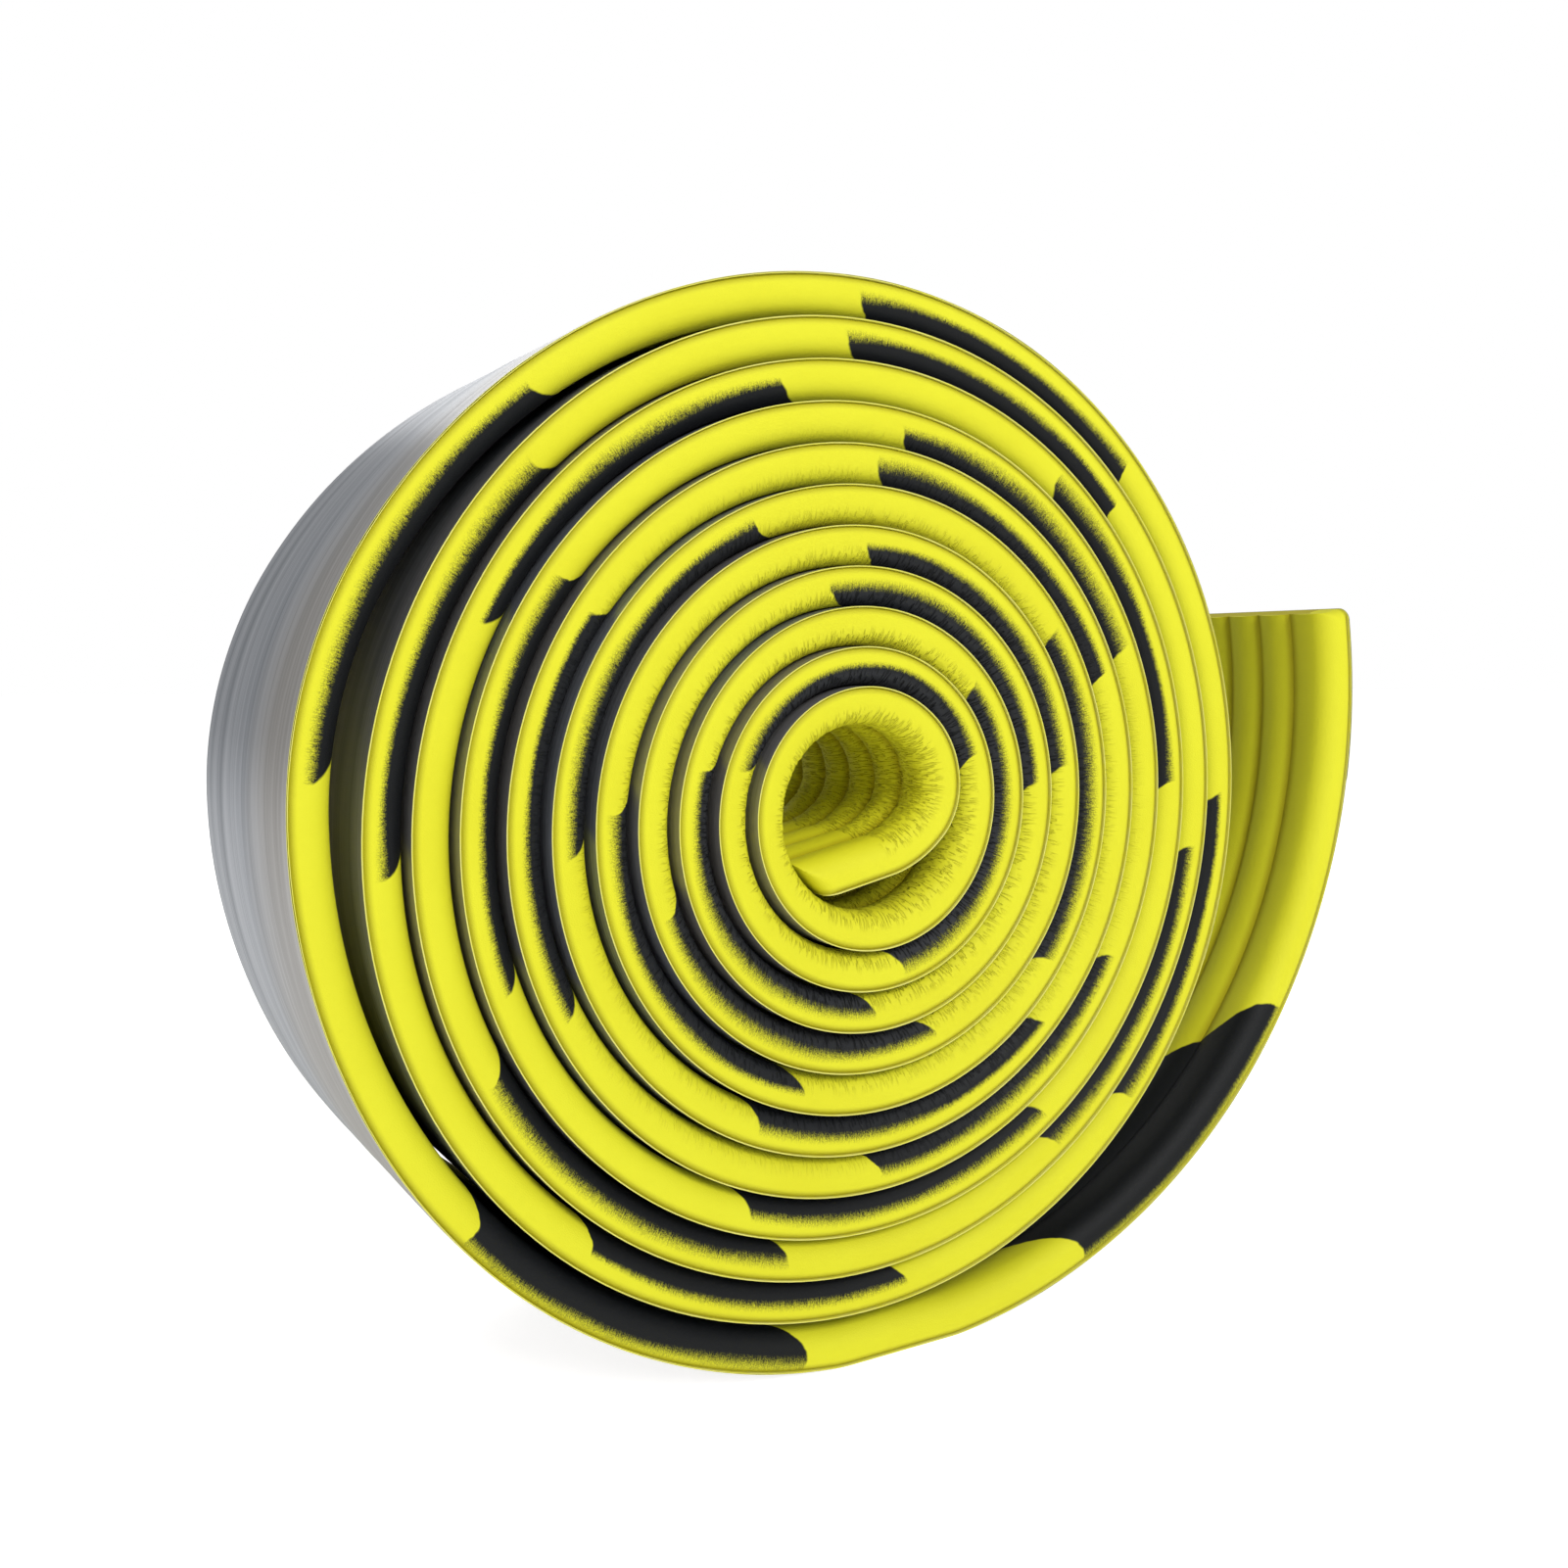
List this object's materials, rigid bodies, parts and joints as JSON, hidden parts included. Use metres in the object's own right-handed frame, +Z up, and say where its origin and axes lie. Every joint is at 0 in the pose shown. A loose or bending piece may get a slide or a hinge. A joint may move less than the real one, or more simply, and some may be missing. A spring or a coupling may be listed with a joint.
{
  "type": "foam guard strip roll",
  "caption": "Roll of self-adhesive ribbed foam guard strip with hazard bands, standing on its rim with its outer end loose; it cushions walls, pillars and edges.",
  "frame": {"origin": "middle of the object's bounding box at its base, on the ground under the roll", "axes": "+Z up; Y is the axis the strip is wound about and runs across its width; the loose end rises on the +X side"},
  "size_m": [0.2724, 0.08, 0.231],
  "materials": {
    "ribbed_foam": "matte",
    "adhesive": "gloss",
    "release_film": "gloss"
  },
  "bodies": {
    "roll": {"foam_roll": "ribbed_foam", "adhesive_roll": "adhesive", "film_between_wraps": "release_film", "film_outer_turn": "release_film"},
    "loose_1": {"foam_loose_1": "ribbed_foam", "adhesive_loose_1": "adhesive", "film_loose_1": "release_film"},
    "loose_2": {"foam_loose_2": "ribbed_foam", "adhesive_loose_2": "adhesive", "film_loose_2": "release_film"},
    "loose_3": {"foam_loose_3": "ribbed_foam", "adhesive_loose_3": "adhesive", "film_loose_3": "release_film"},
    "loose_4": {"foam_loose_4": "ribbed_foam", "adhesive_loose_4": "adhesive", "film_loose_4": "release_film"},
    "film_end": {"film_peeling_end": "release_film"}
  },
  "joints": [
    {"name": "unroll_1", "type": "hinge", "parent": "roll", "child": "loose_1", "pos_m": [0.02487, 0, 0.00254], "axis": [0, 1, 0], "range_deg": [-1.9, 12], "stiffness_Nm_per_rad": 0.6, "springref_deg": -1.11},
    {"name": "unroll_2", "type": "hinge", "parent": "loose_1", "child": "loose_2", "pos_m": [0.07464, 0, 0.0238], "axis": [0, 1, 0], "range_deg": [-3.8, 24], "stiffness_Nm_per_rad": 0.6, "springref_deg": -0.46},
    {"name": "unroll_3", "type": "hinge", "parent": "loose_2", "child": "loose_3", "pos_m": [0.11266, 0, 0.06232], "axis": [0, 1, 0], "range_deg": [-3.8, 24], "stiffness_Nm_per_rad": 0.6, "springref_deg": -0.1},
    {"name": "unroll_4", "type": "hinge", "parent": "loose_3", "child": "loose_4", "pos_m": [0.13326, 0, 0.11236], "axis": [0, 1, 0], "range_deg": [-3.8, 24], "stiffness_Nm_per_rad": 0.6, "springref_deg": 0.01},
    {"name": "film_peel", "type": "hinge", "parent": "loose_4", "child": "film_end", "pos_m": [0.13498, 0, 0.12159], "axis": [0, 1, 0], "range_deg": [0, 150]}
  ],
  "couplings": [
    {"joint": "unroll_2", "follows": "unroll_1", "ratio": 2},
    {"joint": "unroll_3", "follows": "unroll_1", "ratio": 2},
    {"joint": "unroll_4", "follows": "unroll_1", "ratio": 2}
  ]
}
